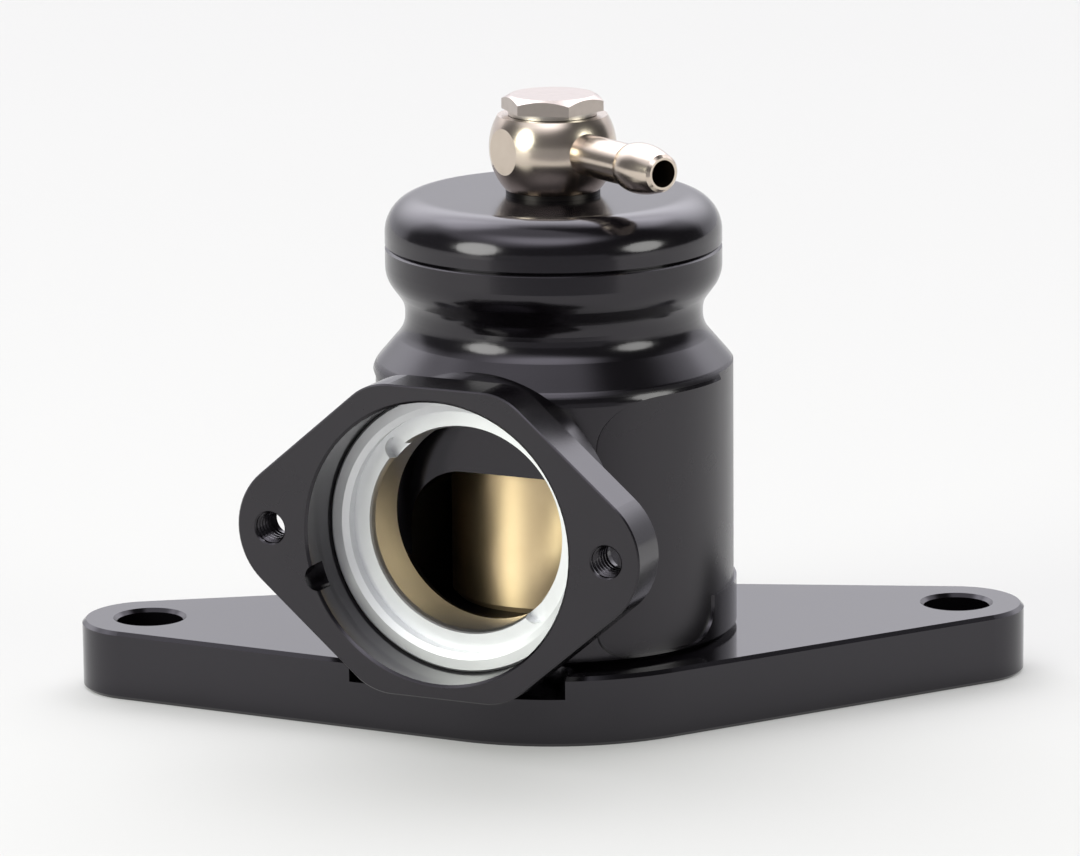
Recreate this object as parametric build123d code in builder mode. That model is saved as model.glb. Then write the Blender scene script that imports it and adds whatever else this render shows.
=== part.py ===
from build123d import *
import math
import os

# Bolt-on blow off valve. Millimetres, +Z up. The origin lies on the valve axis in the
# underside of the base plate, and +X runs along the plate's long axis. The two bolt holes
# lie a little behind the valve axis, and the plate's nose is struck from it.

# Mounting plate
plate_t = 9.4
plate_hole_x = 55.0
plate_hole_y = 6.9
plate_hole_d = 9.0
plate_end_r = 9.2
plate_nose_r = 29.4
plate_back_slope = 6.8
plate_back_margin = 2.2
plate_back_blend = 8.0
plate_edge = 0.5
pocket_w = 30.15
pocket_corner = 3.0
pocket_shift = -1.77
pocket_clear = 1.3
pocket_end_clear = 0.5

# Valve body, turned form
body_r = 24.35
flare_z = 45.4
waist_r = 19.9
waist_low_z = 50.6
waist_high_z = 53.9
collar_r = 22.5
collar_z = 57.4
seam_z = 61.55
shoulder_round = 3.0
waist_low_round = 4.2
waist_high_round = 3.5
collar_round = 4.5
body_foot_edge = 0.75

# Panel round the body: a shallow recess that stops at the port and at the plate's two arms
panel_depth = 0.4
panel_foot = 0.9
panel_head = 0.45
lobe_half_w = 14.8
lobe_top_round = 6.5
lobe_foot_round = 3.4
arm_land_half_w = 13.1
arm_land_h = 6.65
arm_land_round = 4.5

# Port, flange and ring seat. Distances run outwards along the port's own axis.
port_angle = -27.3
port_z = 28.45
flange_face = 37.0
flange_t = 6.3
flange_half_h = 20.7
flange_slope = 40.5
flange_side = 22.0
flange_end_r = 9.4
flange_corner_r = 8.0
flange_edge = 0.2
flange_screw_span = 48.2
flange_tap_d = 4.2
pin_hole_x = -17.3
pin_hole_y = -6.1
pin_hole_d = 3.5
pin_hole_depth = 3.2
port_bore_r = 18.7
port_mouth_edge = 0.35
port_seat = 26.0
sleeve_bore_r = 15.25
port_end = 16.7
neck_wall = 1.95
neck_head_wall = 1.5
neck_head_back = 2.0
neck_flare_len = 2.6
window_half_w = 13.4
window_top = 4.85
window_round = 7.5

# Piston, its bore and seat
bore_r = 14.05
inlet_r = 10.5
seat_z = 13.85
seat_edge = 0.4
piston_clear = 0.05
piston_top_z = 45.35
piston_wall = 3.0
piston_floor_t = 3.6
piston_nose_edge = 0.9
piston_ring_z = 37.45
piston_guide_z = 42.05
piston_guide_h = 3.0
piston_guide_t = 1.1
piston_guide_gap = 0.1
piston_stroke = 10.0
stop_gap = 0.7
bore_lead = 1.2
bore_lead_r = 0.6

# Cap
cap_r = 22.5
cap_top_z = 68.35
cap_round = 5.0
cap_seam_edge = 0.3
cap_thread_r = 17.0
cap_roof_z = 62.85
thread_clear = 0.05
cap_ring_land = 0.7
cap_seam_gap = 0.05
cap_thread_relief = 0.6

# Spring
spring_r = 9.4
spring_wire = 1.8
spring_turns = 7
spring_clear = 0.4

# Seal sections
seal_w = 1.8
seal_squeeze = 0.15
seal_gap = 0.02
seal_side_gap = 0.2
seal_land = 1.1
ring_seal_w = 1.2
ring_seal_squeeze = 0.12
ring_seal_land = 0.85

# Ring in the port
ring_front = 30.1
ring_rear = 20.4
ring_bore_r = 13.6
ring_lip_r = 17.0
ring_lip_fall = 0.45
ring_recess_r = 16.15
ring_recess = 1.95
ring_lead = 0.33
ring_lead_len = 1.05
ring_notch_r = 1.6
ring_notch_at = 14.05
ring_notch_angle = 134.7
ring_notch_floor = 0.4
ring_clear = 0.05
ring_edge = 0.3

# Screws that hold the body on the plate, M5
screw_d = 5.0
screw_len = 14.0
screw_circle_r = 19.6
screw_head_d = 8.5
screw_head_h = 5.0
screw_head_sunk = 0.4
screw_hole_d = 5.5
screw_counterbore_d = 9.2
screw_socket = 4.0
screw_socket_depth = 2.5
screw_edge = 0.4
screw_angles = (90.0, 180.0, 270.0)
tap_runout = 1.5

# Banjo bolt, eye and barb, M8
bolt_d = 8.0
bolt_flats = 12.0
bolt_head_h = 2.1
bolt_crown_d = 11.2
bolt_crown_slope = 30.0
bolt_edge = 0.45
bolt_head_turn = -14.3
bolt_end_up = 0.8
bolt_bore_d = 3.6
bolt_cross_d = 2.6
bolt_waist_d = 6.6
washer_t = 0.6
washer_r = 5.9
lower_washer_r = 6.3
washer_clear = 0.1
eye_r = 8.5
eye_foot = 5.65
eye_crown = 4.3
eye_clear = 0.05
eye_groove_r = 5.3
eye_groove_h = 4.6
eye_flat_r = 3.1
barb_angle = -58.5
barb_neck_d = 5.5
barb_bead_d = 6.7
barb_tip_d = 5.0
barb_bore_d = 3.6
barb_tip_at = 25.6
barb_len = 7.3
barb_shoulder_d = 6.0
barb_rise = 2.4
barb_back_slope = 0.35
barb_front_slope = -0.3
barb_tip_edge = 0.4

# A hexagon's sides, and how near a measured radius lies to the one that is looked for
hex_sides = 6
radius_match = 0.01

# What follows from the sizes above
plate_top = plate_t
seal_depth = seal_w - seal_squeeze
seal_b = seal_w + seal_squeeze
groove_w = seal_b + 2 * seal_side_gap
plate_seal_r = inlet_r + seal_land + groove_w / 2
ring_seal_depth = ring_seal_w - ring_seal_squeeze
ring_seal_b = ring_seal_w + ring_seal_squeeze
ring_groove_w = ring_seal_b + seal_side_gap

flange_back = flange_face - flange_t
neck_r = sleeve_bore_r + neck_wall
neck_head_r = port_bore_r + neck_head_wall
neck_head_start = port_seat - neck_head_back
neck_flare_start = neck_head_start - neck_flare_len
pocket_floor = port_z - flange_half_h - pocket_clear
pocket_end = neck_flare_start - pocket_end_clear

piston_r = bore_r - piston_clear
piston_inner_r = piston_r - piston_wall
piston_floor_z = seat_z + piston_floor_t
cap_spigot_z = piston_top_z + piston_stroke + stop_gap
thread_bore_r = cap_thread_r + thread_clear
thread_end_z = cap_spigot_z - cap_thread_relief
cap_ring_z = seam_z - cap_ring_land - groove_w / 2
cap_groove_r = thread_bore_r - seal_depth
spring_pocket_r = spring_r + spring_wire / 2 + spring_clear

bolt_r = bolt_d / 2
eye_bore_r = bolt_r + eye_clear
eye_base_z = cap_top_z + washer_t + eye_clear
eye_z = eye_base_z + eye_foot
eye_top_z = eye_z + eye_crown
bolt_head_z = eye_top_z + eye_clear + washer_t
bolt_end_z = cap_roof_z + bolt_end_up
washer_bore_r = bolt_r + washer_clear

# Directions in the plan: the port's axis, and the line across it to the right
turn = math.radians(port_angle)
port_dir = Vector(math.sin(turn), -math.cos(turn), 0)
across = Vector(math.cos(turn), math.sin(turn), 0)
port_axis = Axis((0, 0, port_z), port_dir)
port_plane = Plane(origin=(0, 0, port_z), x_dir=across, z_dir=port_dir)
port_section = Plane(origin=(0, 0, port_z), x_dir=port_dir, z_dir=port_dir.cross(Vector(0, 0, 1)))
screw_spots = []
for screw_angle in screw_angles:
    spot_angle = math.radians(port_angle - 90.0 + screw_angle)
    spot_x = screw_circle_r * math.cos(spot_angle)
    spot_y = screw_circle_r * math.sin(spot_angle)
    screw_spots.append((spot_x, spot_y))


def corner(sketch, x, y):
    """The vertex of a sketch that lies nearest to a place in its own plane."""
    return sketch.vertices().sort_by_distance((x, y))[0]


def seal_ring(middle_r, middle_z, width, height):
    """A sealing ring in its squeezed, oval section, lying about the valve axis."""
    with BuildPart() as ring:
        with BuildSketch(Plane.XZ):
            with Locations((middle_r, middle_z)):
                Ellipse(width / 2, height / 2)
        revolve(axis=Axis.Z)
    return ring.part


# Base plate: a flat rhomb with a rounded nose in front and a bulge behind the body
bulge_r = body_r + plate_back_margin
plate_back_r = plate_end_r + plate_hole_x * math.sin(math.radians(plate_back_slope))
plate_span = 4 * (plate_hole_x + plate_end_r)
plate_holes = ((plate_hole_x, plate_hole_y), (-plate_hole_x, plate_hole_y))

with BuildSketch() as plate_front:
    with Locations(*plate_holes):
        Circle(plate_end_r)
    Circle(plate_nose_r)
    make_hull()
    with Locations((0, plate_hole_y)):
        Rectangle(plate_span, plate_span, align=(Align.CENTER, Align.MAX), mode=Mode.INTERSECT)

with BuildSketch() as plate_back:
    with Locations(*plate_holes):
        Circle(plate_end_r)
    with Locations((0, plate_hole_y)):
        Circle(plate_back_r)
    make_hull()

with BuildPart() as base_plate:
    with BuildSketch() as plate_outline:
        add(plate_front.sketch)
        add(plate_back.sketch)
        Circle(bulge_r)
        behind = plate_outline.vertices().filter_by(lambda v: v.Y > plate_hole_y + plate_end_r)
        shoulders = behind.filter_by(lambda v: abs(math.hypot(v.X, v.Y) - bulge_r) < radius_match)
        fillet(shoulders, plate_back_blend)
    extrude(amount=plate_t)
    rims = base_plate.faces().filter_by(Axis.Z).edges()
    chamfer(rims, plate_edge)
    with Locations(*[(x, y, plate_top) for x, y in plate_holes]):
        Hole(plate_hole_d / 2)
    Hole(inlet_r)
    rims = base_plate.edges().filter_by(GeomType.CIRCLE)
    rims = rims.filter_by(lambda e: abs(e.radius - plate_hole_d / 2) < radius_match)
    chamfer(rims, plate_edge)
    with Locations(Plane.XY.rotated((180, 0, 0))):
        with Locations([(x, -y) for x, y in screw_spots]):
            CounterBoreHole(screw_hole_d / 2, screw_counterbore_d / 2, screw_head_h + screw_head_sunk)
    with BuildSketch(Plane.XY.offset(plate_top)):
        Circle(plate_seal_r + groove_w / 2)
        Circle(plate_seal_r - groove_w / 2, mode=Mode.SUBTRACT)
    extrude(amount=-seal_depth, mode=Mode.SUBTRACT)
    with BuildSketch(Plane.XY):
        Circle(plate_seal_r + groove_w / 2)
        Circle(plate_seal_r - groove_w / 2, mode=Mode.SUBTRACT)
    extrude(amount=seal_depth, mode=Mode.SUBTRACT)
    pocket_len = 3 * flange_face
    with BuildSketch(Plane(origin=(0, 0, pocket_floor), x_dir=across, z_dir=(0, 0, 1))):
        with Locations((pocket_shift, -pocket_end - pocket_len / 2)):
            RectangleRounded(pocket_w, pocket_len, pocket_corner)
    extrude(amount=plate_t, mode=Mode.SUBTRACT)
base_plate.part.label = "base_plate"

# Panel: the recess's ring, less a window about the port and one over each arm of the plate,
# where the body keeps its turned radius
panel_low = plate_top + panel_foot
panel_r = body_r - panel_depth
with BuildPart() as panel_cut:
    with BuildSketch(Plane.XZ):
        with BuildLine():
            Polyline(
                (panel_r, panel_low),
                (panel_r, waist_low_z),
                (2 * body_r, waist_low_z),
                (2 * body_r, panel_low),
                close=True,
            )
        make_face()
    revolve(axis=Axis.Z)
    lobe_low = panel_low - port_z
    lobe_high = flare_z - panel_head - port_z
    with BuildSketch(port_plane) as lobe_window:
        with Locations((0, (lobe_low + lobe_high) / 2)):
            Rectangle(2 * lobe_half_w, lobe_high - lobe_low)
        with Locations((0, lobe_high)):
            Rectangle(6 * body_r, seam_z, align=(Align.CENTER, Align.MIN))
        with Locations((0, lobe_low)):
            Rectangle(6 * body_r, plate_t, align=(Align.CENTER, Align.MAX))
        for side in (lobe_half_w, -lobe_half_w):
            fillet(corner(lobe_window, side, lobe_high), lobe_top_round)
            fillet(corner(lobe_window, side, lobe_low), lobe_foot_round)
    extrude(amount=3 * body_r, mode=Mode.SUBTRACT)
    with BuildSketch(Plane.YZ) as arm_window:
        with Locations((0, plate_top + arm_land_h)):
            Rectangle(2 * arm_land_half_w, arm_land_h, align=(Align.CENTER, Align.MAX))
        with Locations((0, panel_low)):
            Rectangle(6 * body_r, plate_t, align=(Align.CENTER, Align.MAX))
        for side in (arm_land_half_w, -arm_land_half_w):
            fillet(corner(arm_window, side, panel_low), arm_land_round)
    extrude(amount=3 * body_r, both=True, mode=Mode.SUBTRACT)

# Port flange: a rhomb with rounded ends and flat top and foot, and two tapped holes
slope = math.radians(flange_slope)
flange_point_x = flange_side / math.sin(slope)
flange_flat_x = (flange_side - flange_half_h * math.cos(slope)) / math.sin(slope)
with BuildPart() as port_flange:
    with BuildSketch(port_plane.offset(flange_back)) as flange_outline:
        Polygon(
            (flange_point_x, 0),
            (flange_flat_x, flange_half_h),
            (-flange_flat_x, flange_half_h),
            (-flange_point_x, 0),
            (-flange_flat_x, -flange_half_h),
            (flange_flat_x, -flange_half_h),
        )
        for side in (1, -1):
            fillet(corner(flange_outline, side * flange_point_x, 0), flange_end_r)
            fillet(corner(flange_outline, side * flange_flat_x, flange_half_h), flange_corner_r)
            fillet(corner(flange_outline, side * flange_flat_x, -flange_half_h), flange_corner_r)
        with Locations((flange_screw_span / 2, 0), (-flange_screw_span / 2, 0)):
            Circle(flange_tap_d / 2, mode=Mode.SUBTRACT)
    extrude(amount=flange_t)
    chamfer(port_flange.faces().filter_by(port_axis).edges(), flange_edge)

# Valve body: turned core, neck and flange in one piece
with BuildPart() as valve_body:
    with BuildSketch(Plane.XZ) as body_outline:
        with BuildLine():
            Polyline(
                (0, plate_top),
                (body_r - body_foot_edge, plate_top),
                (body_r, plate_top + body_foot_edge),
                (body_r, flare_z),
                (waist_r, waist_low_z),
                (waist_r, waist_high_z),
                (collar_r, collar_z),
                (collar_r, seam_z - cap_seam_edge),
                (collar_r - cap_seam_edge, seam_z),
                (0, seam_z),
                close=True,
            )
        make_face()
        fillet(corner(body_outline, body_r, flare_z), shoulder_round)
        fillet(corner(body_outline, waist_r, waist_low_z), waist_low_round)
        fillet(corner(body_outline, waist_r, waist_high_z), waist_high_round)
        fillet(corner(body_outline, collar_r, collar_z), collar_round)
    revolve(axis=Axis.Z)
    add(panel_cut.part, mode=Mode.SUBTRACT)
    with BuildSketch(port_section):
        with BuildLine():
            Polyline(
                (body_r / 2, 0),
                (body_r / 2, neck_r),
                (neck_flare_start, neck_r),
                (neck_head_start, neck_head_r),
                (flange_back + flange_t / 2, neck_head_r),
                (flange_back + flange_t / 2, 0),
                close=True,
            )
        make_face()
    revolve(axis=port_axis)
    add(port_flange.part)
    # Bores along the valve axis: inlet, piston bore with its lead-in, cap thread
    with BuildSketch(Plane.XZ):
        with BuildLine():
            Polyline(
                (0, 0),
                (inlet_r, 0),
                (inlet_r, seat_z - seat_edge),
                (inlet_r + seat_edge, seat_z),
                (bore_r, seat_z),
                (bore_r, thread_end_z - bore_lead),
                (bore_r + bore_lead_r, thread_end_z),
                (thread_bore_r, thread_end_z),
                (thread_bore_r, seam_z),
                (thread_bore_r, seam_z + plate_t),
                (0, seam_z + plate_t),
                close=True,
            )
        make_face()
    revolve(axis=Axis.Z, mode=Mode.SUBTRACT)
    # Bores along the port's axis: ring thread, sleeve bore with a flat end
    with BuildSketch(port_section):
        with BuildLine():
            Polyline(
                (port_end, 0),
                (port_end, sleeve_bore_r),
                (port_seat, sleeve_bore_r),
                (port_seat, port_bore_r),
                (flange_face - port_mouth_edge, port_bore_r),
                (flange_face, port_bore_r + port_mouth_edge),
                (flange_face + flange_t, port_bore_r + port_mouth_edge),
                (flange_face + flange_t, 0),
                close=True,
            )
        make_face()
    revolve(axis=port_axis, mode=Mode.SUBTRACT)
    # Window from the port's flat end into the piston bore
    window_low = seat_z - port_z
    with BuildSketch(port_plane) as window:
        with Locations((0, (window_low + window_top) / 2)):
            Rectangle(2 * window_half_w, window_top - window_low)
        for side in (window_half_w, -window_half_w):
            fillet(corner(window, side, window_top), window_round)
    extrude(amount=port_end, mode=Mode.SUBTRACT)
    # Small pin hole at the ring's edge, and the screw threads in the foot
    with BuildSketch(port_plane.offset(flange_face)):
        with Locations((pin_hole_x, pin_hole_y)):
            Circle(pin_hole_d / 2)
    extrude(amount=-pin_hole_depth, mode=Mode.SUBTRACT)
    screw_reach = screw_head_sunk + screw_head_h + screw_len
    with BuildSketch(Plane.XY):
        with Locations(screw_spots):
            Circle(screw_d / 2 + thread_clear)
    extrude(amount=screw_reach + tap_runout, mode=Mode.SUBTRACT)
valve_body.part.label = "valve_body"

# Cap: flange with a rounded rim, threaded spigot, spring pocket and the bolt's thread
with BuildPart() as top_cap:
    cap_low = seam_z + cap_seam_gap
    groove_low = cap_ring_z - groove_w / 2
    with BuildSketch(Plane.XZ) as cap_outline:
        with BuildLine():
            Polyline(
                (bolt_r + thread_clear, cap_roof_z),
                (bolt_r + thread_clear, cap_top_z),
                (cap_r, cap_top_z),
                (cap_r, cap_low + cap_seam_edge),
                (cap_r - cap_seam_edge, cap_low),
                (cap_thread_r, cap_low),
                (cap_thread_r, groove_low + groove_w),
                (cap_groove_r, groove_low + groove_w),
                (cap_groove_r, groove_low),
                (cap_thread_r, groove_low),
                (cap_thread_r, cap_spigot_z),
                (spring_pocket_r, cap_spigot_z),
                (spring_pocket_r, cap_roof_z),
                close=True,
            )
        make_face()
        fillet(corner(cap_outline, cap_r, cap_top_z), cap_round)
    revolve(axis=Axis.Z)
top_cap.part.label = "top_cap"

# Piston: a cup with a bevelled nose, one seal groove and one guide groove
with BuildPart() as piston:
    ring_groove_r = bore_r - seal_depth
    guide_groove_r = bore_r - piston_guide_t
    guide_half = piston_guide_h / 2 + piston_guide_gap
    with BuildSketch(Plane.XZ):
        with BuildLine():
            Polyline(
                (0, seat_z),
                (piston_r - piston_nose_edge, seat_z),
                (piston_r, seat_z + piston_nose_edge),
                (piston_r, piston_ring_z - groove_w / 2),
                (ring_groove_r, piston_ring_z - groove_w / 2),
                (ring_groove_r, piston_ring_z + groove_w / 2),
                (piston_r, piston_ring_z + groove_w / 2),
                (piston_r, piston_guide_z - guide_half),
                (guide_groove_r, piston_guide_z - guide_half),
                (guide_groove_r, piston_guide_z + guide_half),
                (piston_r, piston_guide_z + guide_half),
                (piston_r, piston_top_z - seat_edge),
                (piston_r - seat_edge, piston_top_z),
                (piston_inner_r, piston_top_z),
                (piston_inner_r, piston_floor_z),
                (0, piston_floor_z),
                close=True,
            )
        make_face()
    revolve(axis=Axis.Z)
piston.part.label = "piston"

# Guide band
with BuildPart() as piston_guide_ring:
    with BuildSketch(Plane.XY.offset(piston_guide_z - piston_guide_h / 2)):
        Circle(bore_r - seal_gap)
        Circle(guide_groove_r + seal_gap, mode=Mode.SUBTRACT)
    extrude(amount=piston_guide_h)
piston_guide_ring.part.label = "piston_guide_ring"

# Sealing rings
seal_free = seal_depth - 2 * seal_gap
piston_o_ring = seal_ring(bore_r - seal_depth / 2, piston_ring_z, seal_free, seal_b)
piston_o_ring.label = "piston_o_ring"
cap_o_ring = seal_ring(thread_bore_r - seal_depth / 2, cap_ring_z, seal_free, seal_b)
cap_o_ring.label = "cap_o_ring"
body_base_o_ring = seal_ring(plate_seal_r, plate_top - seal_depth / 2, seal_b, seal_free)
body_base_o_ring.label = "body_base_o_ring"
inlet_face_o_ring = seal_ring(plate_seal_r, seal_depth / 2, seal_b, seal_free)
inlet_face_o_ring.label = "inlet_face_o_ring"

# Spring: a helix between the piston's floor and the cap's roof
spring_low = piston_floor_z + spring_wire / 2 + seal_gap
spring_high = cap_roof_z - spring_wire / 2 - seal_gap
spring_pitch = (spring_high - spring_low) / spring_turns
with BuildPart() as piston_spring:
    with BuildLine() as coil:
        Helix(spring_pitch, spring_high - spring_low, spring_r, center=(0, 0, spring_low))
    with BuildSketch(Plane(origin=coil.line @ 0, z_dir=coil.line % 0)):
        Circle(spring_wire / 2)
    sweep()
piston_spring.part.label = "piston_spring"

# Threaded ring in the port: thread flange with a raised rim, recessed face, sleeve, two
# spanner notches
with BuildPart() as port_ring:
    ring_r = port_bore_r - ring_clear
    sleeve_r = sleeve_bore_r - ring_clear
    recess_x = ring_front - ring_recess
    ring_groove_low = sleeve_r + ring_seal_land
    with BuildSketch(port_section):
        with BuildLine():
            Polyline(
                (ring_rear, ring_bore_r + ring_edge),
                (ring_rear, sleeve_r),
                (port_seat, sleeve_r),
                (port_seat, ring_groove_low),
                (port_seat + ring_seal_depth, ring_groove_low),
                (port_seat + ring_seal_depth, ring_groove_low + ring_groove_w),
                (port_seat, ring_groove_low + ring_groove_w),
                (port_seat, ring_r),
                (ring_front - ring_edge, ring_r),
                (ring_front, ring_r - ring_edge),
                (ring_front, ring_lip_r),
                (ring_front - ring_lip_fall, ring_recess_r),
                (recess_x, ring_recess_r),
                (recess_x, ring_bore_r + ring_lead),
                (recess_x - ring_lead_len, ring_bore_r),
                (ring_rear + ring_edge, ring_bore_r),
                close=True,
            )
        make_face()
    revolve(axis=port_axis)
    notch_floor = port_seat + ring_notch_floor
    with BuildSketch(port_plane.offset(notch_floor)):
        with PolarLocations(ring_notch_at, 2, start_angle=ring_notch_angle):
            Circle(ring_notch_r)
    extrude(amount=ring_front - port_seat, mode=Mode.SUBTRACT)
port_ring.part.label = "port_ring"

with BuildPart() as port_ring_o_ring:
    ring_seal_at = ring_groove_low + ring_groove_w / 2
    with BuildSketch(port_section):
        with Locations((port_seat + ring_seal_depth / 2, ring_seal_at)):
            Ellipse(ring_seal_depth / 2 - seal_gap, ring_seal_b / 2)
    revolve(axis=port_axis)
port_ring_o_ring.part.label = "port_ring_o_ring"

# Cap screws from below
with BuildPart() as body_screws:
    head_z = screw_head_sunk + screw_head_h
    with BuildSketch(Plane.XY.offset(screw_head_sunk)):
        with Locations(screw_spots):
            Circle(screw_head_d / 2)
    extrude(amount=screw_head_h)
    chamfer(body_screws.faces().group_by(Axis.Z)[0].edges(), screw_edge)
    with BuildSketch(Plane.XY.offset(screw_head_sunk)):
        with Locations(screw_spots):
            RegularPolygon(screw_socket / 2, hex_sides, major_radius=False)
    extrude(amount=screw_socket_depth, mode=Mode.SUBTRACT)
    with BuildSketch(Plane.XY.offset(head_z)):
        with Locations(screw_spots):
            Circle(screw_d / 2)
    extrude(amount=screw_len)
    chamfer(body_screws.faces().group_by(Axis.Z)[-1].edges(), screw_edge)
body_screws.part.label = "body_screws"

# Banjo bolt: hexagon head with a coned crown, waisted hollow shank, cross holes level with
# the eye's groove
with BuildPart() as banjo_bolt:
    head_top_z = bolt_head_z + bolt_head_h
    head_corner_r = bolt_flats / 2 / math.cos(math.pi / hex_sides)
    crown_r = bolt_crown_d / 2
    crown_out_r = 2 * head_corner_r - crown_r
    crown_fall = (crown_out_r - crown_r) * math.tan(math.radians(bolt_crown_slope))
    with BuildSketch(Plane.XY.offset(bolt_head_z)):
        RegularPolygon(bolt_flats / 2, hex_sides, major_radius=False, rotation=bolt_head_turn)
    extrude(amount=bolt_head_h)
    with BuildSketch(Plane.XZ):
        with BuildLine():
            Polyline(
                (0, bolt_head_z),
                (crown_out_r, bolt_head_z),
                (crown_out_r, head_top_z - crown_fall),
                (crown_r, head_top_z),
                (0, head_top_z),
                close=True,
            )
        make_face()
    revolve(axis=Axis.Z, mode=Mode.INTERSECT)
    waist_half = eye_groove_h / 2 + bolt_edge
    with BuildSketch(Plane.XZ):
        with BuildLine():
            Polyline(
                (0, bolt_end_z),
                (bolt_r - bolt_edge, bolt_end_z),
                (bolt_r, bolt_end_z + bolt_edge),
                (bolt_r, eye_z - waist_half),
                (bolt_waist_d / 2, eye_z - eye_groove_h / 2),
                (bolt_waist_d / 2, eye_z + eye_groove_h / 2),
                (bolt_r, eye_z + waist_half),
                (bolt_r, bolt_head_z),
                (0, bolt_head_z),
                close=True,
            )
        make_face()
    revolve(axis=Axis.Z)
    with BuildSketch(Plane.XY.offset(bolt_end_z)):
        Circle(bolt_bore_d / 2)
    extrude(amount=eye_z + bolt_cross_d - bolt_end_z, mode=Mode.SUBTRACT)
    with BuildSketch(Plane.XZ.offset(-bolt_d)):
        with Locations((0, eye_z)):
            Circle(bolt_cross_d / 2)
    extrude(amount=2 * bolt_d, mode=Mode.SUBTRACT)
banjo_bolt.part.label = "banjo_bolt"

# Sealing washers below and above the eye
with BuildPart() as banjo_washer_lower:
    with BuildSketch(Plane.XY.offset(cap_top_z)):
        Circle(lower_washer_r)
        Circle(washer_bore_r, mode=Mode.SUBTRACT)
    extrude(amount=washer_t)
banjo_washer_lower.part.label = "banjo_washer_lower"

with BuildPart() as banjo_washer_upper:
    with BuildSketch(Plane.XY.offset(bolt_head_z - washer_t)):
        Circle(washer_r)
        Circle(washer_bore_r, mode=Mode.SUBTRACT)
    extrude(amount=washer_t)
banjo_washer_upper.part.label = "banjo_washer_upper"

# Banjo eye: a ball cut flat above and below, with two side flats, and the barbed stem
barb_turn = math.radians(barb_angle)
barb_dir = Vector(math.cos(barb_turn), math.sin(barb_turn), 0)
barb_axis = Axis((0, 0, eye_z), barb_dir)
barb_section = Plane(origin=(0, 0, eye_z), x_dir=barb_dir, z_dir=barb_dir.cross(Vector(0, 0, 1)))
eye_flat_at = math.sqrt(eye_r**2 - eye_flat_r**2)
with BuildPart() as banjo_fitting:
    with BuildSketch(Plane.XZ) as eye_outline:
        with Locations((0, eye_z)):
            Circle(eye_r)
        Rectangle(eye_r, 4 * eye_z, align=(Align.MIN, Align.CENTER), mode=Mode.INTERSECT)
        with Locations((0, eye_base_z)):
            cut_h = eye_foot + eye_crown
            Rectangle(4 * eye_r, cut_h, align=(Align.CENTER, Align.MIN), mode=Mode.INTERSECT)
    revolve(axis=Axis.Z)
    flat_plane = Plane(origin=(0, 0, eye_z), x_dir=barb_dir, z_dir=(0, 0, 1))
    with BuildSketch(flat_plane.offset(-2 * eye_r)):
        Rectangle(4 * eye_r, 2 * eye_flat_at)
    extrude(amount=4 * eye_r, mode=Mode.INTERSECT)
    neck_end = barb_tip_at - barb_len
    with BuildSketch(barb_section):
        with BuildLine():
            neck = Polyline(
                (barb_tip_at - barb_tip_edge, barb_tip_d / 2),
                (barb_tip_at, barb_tip_d / 2 - barb_tip_edge),
                (barb_tip_at, 0),
                (eye_r / 2, 0),
                (eye_r / 2, barb_neck_d / 2),
                (neck_end, barb_neck_d / 2),
                (neck_end, barb_shoulder_d / 2),
            )
            Spline(
                neck @ 1,
                (neck_end + barb_rise, barb_bead_d / 2),
                neck @ 0,
                tangents=[(1, barb_back_slope), (1, barb_front_slope)],
            )
        make_face()
    revolve(axis=barb_axis)
    with BuildSketch(barb_section):
        with BuildLine():
            Polyline(
                (0, 0),
                (0, barb_bore_d / 2),
                (2 * barb_tip_at, barb_bore_d / 2),
                (2 * barb_tip_at, 0),
                close=True,
            )
        make_face()
    revolve(axis=barb_axis, mode=Mode.SUBTRACT)
    with BuildSketch(Plane.XZ):
        with BuildLine():
            Polyline(
                (0, eye_base_z),
                (eye_bore_r, eye_base_z),
                (eye_bore_r, eye_z - eye_groove_h / 2),
                (eye_groove_r, eye_z - eye_groove_h / 2),
                (eye_groove_r, eye_z + eye_groove_h / 2),
                (eye_bore_r, eye_z + eye_groove_h / 2),
                (eye_bore_r, eye_top_z),
                (0, eye_top_z),
                close=True,
            )
        make_face()
    revolve(axis=Axis.Z, mode=Mode.SUBTRACT)
banjo_fitting.part.label = "banjo_fitting"

os.makedirs("parts", exist_ok=True)
export_step(base_plate.part, "parts/base_plate.step")
export_step(valve_body.part, "parts/valve_body.step")
export_step(top_cap.part, "parts/top_cap.step")
export_step(cap_o_ring, "parts/cap_o_ring.step")
export_step(body_base_o_ring, "parts/body_base_o_ring.step")
export_step(inlet_face_o_ring, "parts/inlet_face_o_ring.step")
export_step(body_screws.part, "parts/body_screws.step")
export_step(piston.part, "parts/piston.step")
export_step(piston_o_ring, "parts/piston_o_ring.step")
export_step(piston_guide_ring.part, "parts/piston_guide_ring.step")
export_step(piston_spring.part, "parts/piston_spring.step")
export_step(port_ring.part, "parts/port_ring.step")
export_step(port_ring_o_ring.part, "parts/port_ring_o_ring.step")
export_step(banjo_bolt.part, "parts/banjo_bolt.step")
export_step(banjo_fitting.part, "parts/banjo_fitting.step")
export_step(banjo_washer_upper.part, "parts/banjo_washer_upper.step")
export_step(banjo_washer_lower.part, "parts/banjo_washer_lower.step")
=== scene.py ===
# %% [markdown]
# A bolt-on blow off valve on a pale table
#
# This lesson dresses a finished CAD model. The model comes in as a fixed frame, and Blender
# gives it its finishes, a few fine details, a table, soft light and a camera. The valve is a
# turned and milled housing of black anodised aluminium on a rhomb-shaped mounting plate. Its
# side port holds a bright aluminium ring, and a brass piston closes the way through. A nickel
# plated hose union sits on the cap. Most of what makes it look real is gloss: how each
# machined surface mirrors a pale room.

# %% Load the fixed frame
import math

import bpy
import bmesh
from mathutils import Matrix, Vector


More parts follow.
